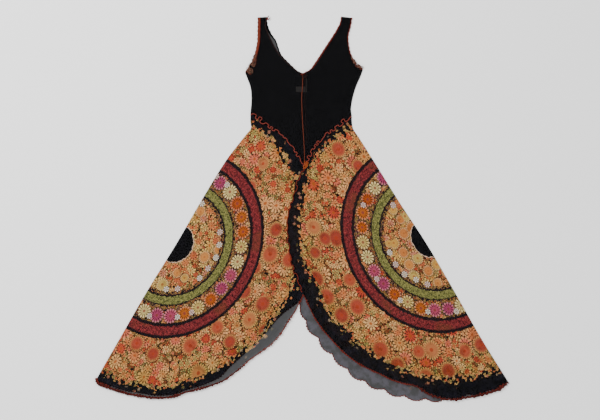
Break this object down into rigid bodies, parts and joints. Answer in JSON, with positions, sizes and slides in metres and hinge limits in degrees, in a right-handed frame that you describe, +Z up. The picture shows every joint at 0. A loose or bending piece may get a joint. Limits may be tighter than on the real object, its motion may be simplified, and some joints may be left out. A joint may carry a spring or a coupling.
{
  "type": "mesh maxi dress",
  "caption": "Long sleeveless V-neck dress of sheer printed mesh, laid flat, with wavy overlocked edges and a split hem",
  "frame": {"origin": "centre of the laid dress's box in X and Y, at the height of the surface it lies on", "axes": "+X runs across the dress to the right as seen from above, +Y runs up to the neck, +Z is up from the surface, out of the front of the dress"},
  "size_m": [1.4892, 1.3888, 0.0093],
  "materials": {
    "black_mesh": "sheer knitted mesh, matt",
    "printed_mesh": "sheer knitted mesh with a ring print of flowers, matt",
    "rust_thread": "dense overlock stitching, satin",
    "dark_label": "woven satin, bare",
    "pale_label": "printed satin tape, bare"
  },
  "bodies": {
    "root": {"front_bodice_left": "black_mesh", "armhole_edge_front_left": "rust_thread", "neck_edge_front_left": "rust_thread", "back_bodice_left": "black_mesh", "armhole_edge_back_left": "rust_thread", "neck_edge_back_left": "rust_thread", "skirt_left": "printed_mesh", "hem_frill_front_left": "rust_thread", "hem_frill_back_left": "rust_thread", "waist_frill_left": "rust_thread", "front_bodice_right": "black_mesh", "armhole_edge_front_right": "rust_thread", "neck_edge_front_right": "rust_thread", "back_bodice_right": "black_mesh", "armhole_edge_back_right": "rust_thread", "neck_edge_back_right": "rust_thread", "skirt_right": "printed_mesh", "hem_frill_front_right": "rust_thread", "hem_frill_back_right": "rust_thread", "waist_frill_right": "rust_thread", "skirt_seam_frill": "rust_thread", "label_pale": "pale_label", "label_dark": "dark_label"}
  },
  "joints": []
}
